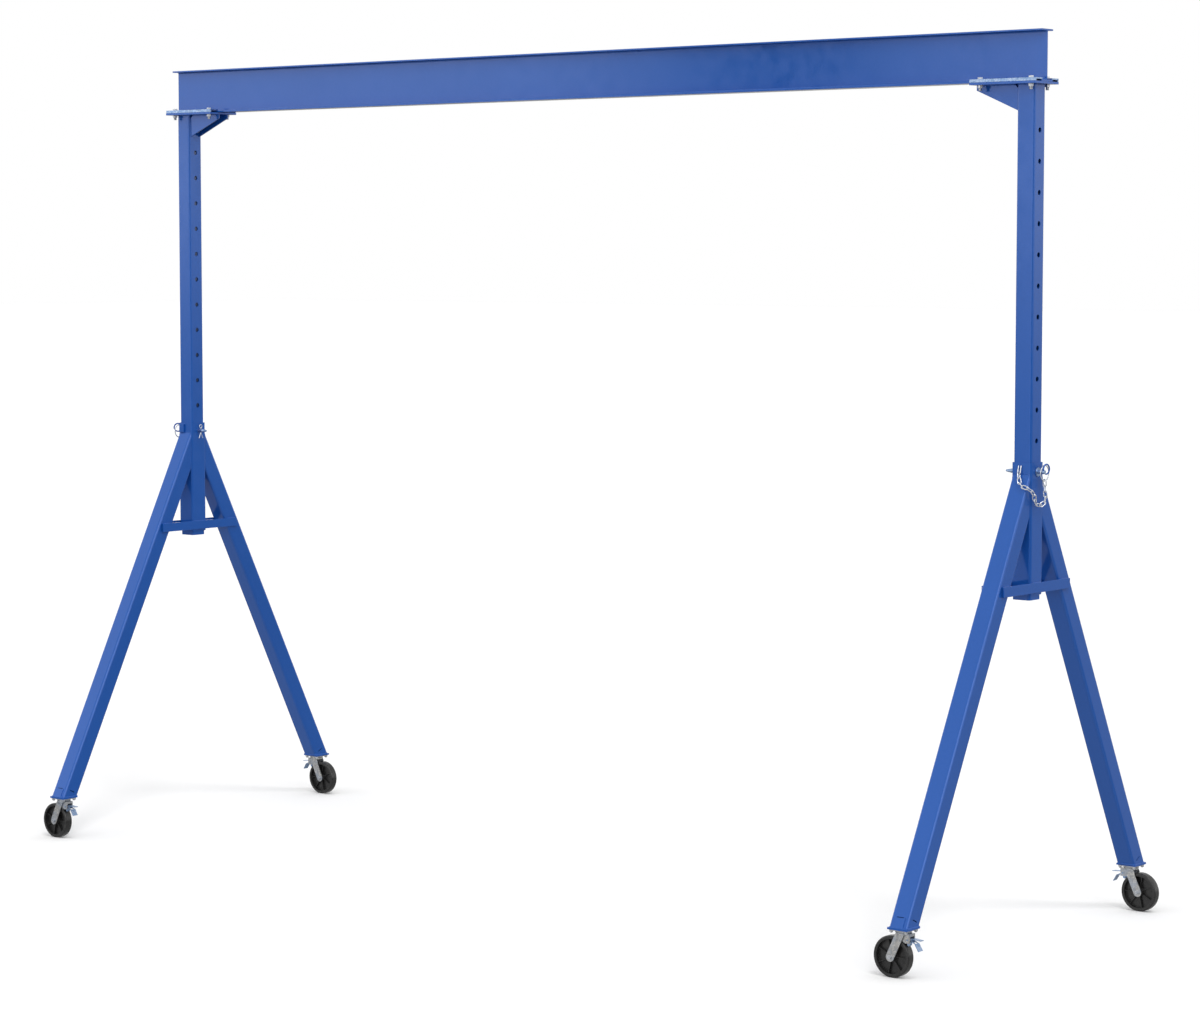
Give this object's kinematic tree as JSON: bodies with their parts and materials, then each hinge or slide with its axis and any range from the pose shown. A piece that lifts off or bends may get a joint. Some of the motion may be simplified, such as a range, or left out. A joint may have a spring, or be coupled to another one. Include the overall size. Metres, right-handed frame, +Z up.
{
  "type": "portable gantry crane",
  "caption": "Steel I-beam carried by two height-adjustable A-frames with lock pins on chains and braked swivel casters.",
  "frame": {"origin": "on the floor, below the middle of the beam", "axes": "+X along the beam, +Y across it, +Z up; the pose is the one with the beam 4.27 m above the floor"},
  "size_m": [6.233, 2.244, 4.524],
  "materials": {
    "blue_paint": "semi-gloss",
    "bright_zinc": "bright zinc plate",
    "zinc_fastener": "zinc plate",
    "chain_zinc": "dull zinc plate",
    "caster_zinc": "yellow zinc plate",
    "wheel_nylon": "moulded",
    "bronze_bush": "oiled"
  },
  "bodies": {
    "right_frame": {"right_sleeve": "blue_paint", "right_front_leg": "blue_paint", "right_rear_leg": "blue_paint", "right_braces": "blue_paint", "right_foot_plates": "blue_paint", "right_foot_bolts": "zinc_fastener", "right_pin_keeper": "blue_paint", "right_chain_anchor": "chain_zinc", "right_chain": "chain_zinc", "right_chain_ring": "chain_zinc", "right_front_caster_base": "caster_zinc", "right_rear_caster_base": "caster_zinc"},
    "left_frame": {"left_sleeve": "blue_paint", "left_front_leg": "blue_paint", "left_rear_leg": "blue_paint", "left_braces": "blue_paint", "left_foot_plates": "blue_paint", "left_foot_bolts": "zinc_fastener", "left_pin_keeper": "blue_paint", "left_chain_anchor": "chain_zinc", "left_chain": "chain_zinc", "left_chain_ring": "chain_zinc", "left_front_caster_base": "caster_zinc", "left_rear_caster_base": "caster_zinc"},
    "beam": {"i_beam": "blue_paint", "clamp_bolts": "zinc_fastener", "right_post": "blue_paint", "right_top_plate": "blue_paint", "right_gussets": "blue_paint", "right_clamps": "bright_zinc", "left_post": "blue_paint", "left_top_plate": "blue_paint", "left_gussets": "blue_paint", "left_clamps": "bright_zinc"},
    "right_pin": {"right_lock_pin": "bright_zinc", "right_pull_ring": "blue_paint", "right_cotter": "chain_zinc"},
    "right_front_swivel": {"right_front_fork": "caster_zinc", "right_front_axle": "zinc_fastener"},
    "right_front_rolling_wheel": {"right_front_wheel": "wheel_nylon", "right_front_wheel_bush": "bronze_bush"},
    "right_front_brake": {"right_front_brake_lever": "bright_zinc"},
    "right_rear_swivel": {"right_rear_fork": "caster_zinc", "right_rear_axle": "zinc_fastener"},
    "right_rear_rolling_wheel": {"right_rear_wheel": "wheel_nylon", "right_rear_wheel_bush": "bronze_bush"},
    "right_rear_brake": {"right_rear_brake_lever": "bright_zinc"},
    "left_pin": {"left_lock_pin": "bright_zinc", "left_pull_ring": "blue_paint", "left_cotter": "chain_zinc"},
    "left_front_swivel": {"left_front_fork": "caster_zinc", "left_front_axle": "zinc_fastener"},
    "left_front_rolling_wheel": {"left_front_wheel": "wheel_nylon", "left_front_wheel_bush": "bronze_bush"},
    "left_front_brake": {"left_front_brake_lever": "bright_zinc"},
    "left_rear_swivel": {"left_rear_fork": "caster_zinc", "left_rear_axle": "zinc_fastener"},
    "left_rear_rolling_wheel": {"left_rear_wheel": "wheel_nylon", "left_rear_wheel_bush": "bronze_bush"},
    "left_rear_brake": {"left_rear_brake_lever": "bright_zinc"}
  },
  "joints": [
    {"name": "height_right", "type": "slide", "parent": "right_frame", "child": "beam", "axis": [0, 0, 1], "range_m": [-1.6764, 0.1524]},
    {"name": "height_left", "type": "slide", "parent": "beam", "child": "left_frame", "axis": [0, 0, -1], "range_m": [-1.6764, 0.1524]},
    {"name": "right_pin_slide", "type": "slide", "parent": "right_frame", "child": "right_pin", "axis": [1, 0, 0], "range_m": [0, 0.012]},
    {"name": "left_pin_slide", "type": "slide", "parent": "left_frame", "child": "left_pin", "axis": [-1, 0, 0], "range_m": [0, 0.012]},
    {"name": "right_front_swivel", "type": "hinge", "parent": "right_frame", "child": "right_front_swivel", "pos_m": [2.959, -1.065, 0.235], "axis": [0, 0, 1], "continuous": true},
    {"name": "right_front_wheel_spin", "type": "hinge", "parent": "right_front_swivel", "child": "right_front_rolling_wheel", "pos_m": [2.903, -1.065, 0.1015], "axis": [0, 1, 0], "continuous": true},
    {"name": "right_front_brake_pedal", "type": "hinge", "parent": "right_front_swivel", "child": "right_front_brake", "pos_m": [2.997, -1.065, 0.193], "axis": [0, 1, 0], "range_deg": [0, 12]},
    {"name": "right_rear_swivel", "type": "hinge", "parent": "right_frame", "child": "right_rear_swivel", "pos_m": [2.959, 1.065, 0.235], "axis": [0, 0, 1], "continuous": true},
    {"name": "right_rear_wheel_spin", "type": "hinge", "parent": "right_rear_swivel", "child": "right_rear_rolling_wheel", "pos_m": [3.015, 1.065, 0.1015], "axis": [0, 1, 0], "continuous": true},
    {"name": "right_rear_brake_pedal", "type": "hinge", "parent": "right_rear_swivel", "child": "right_rear_brake", "pos_m": [2.921, 1.065, 0.193], "axis": [0, -1, 0], "range_deg": [0, 12]},
    {"name": "left_front_swivel", "type": "hinge", "parent": "left_frame", "child": "left_front_swivel", "pos_m": [-2.959, -1.065, 0.235], "axis": [0, 0, 1], "continuous": true},
    {"name": "left_front_wheel_spin", "type": "hinge", "parent": "left_front_swivel", "child": "left_front_rolling_wheel", "pos_m": [-3.015, -1.065, 0.1015], "axis": [0, 1, 0], "continuous": true},
    {"name": "left_front_brake_pedal", "type": "hinge", "parent": "left_front_swivel", "child": "left_front_brake", "pos_m": [-2.921, -1.065, 0.193], "axis": [0, 1, 0], "range_deg": [0, 12]},
    {"name": "left_rear_swivel", "type": "hinge", "parent": "left_frame", "child": "left_rear_swivel", "pos_m": [-2.959, 1.065, 0.235], "axis": [0, 0, 1], "continuous": true},
    {"name": "left_rear_wheel_spin", "type": "hinge", "parent": "left_rear_swivel", "child": "left_rear_rolling_wheel", "pos_m": [-2.903, 1.065, 0.1015], "axis": [0, 1, 0], "continuous": true},
    {"name": "left_rear_brake_pedal", "type": "hinge", "parent": "left_rear_swivel", "child": "left_rear_brake", "pos_m": [-2.997, 1.065, 0.193], "axis": [0, -1, 0], "range_deg": [0, 12]}
  ]
}
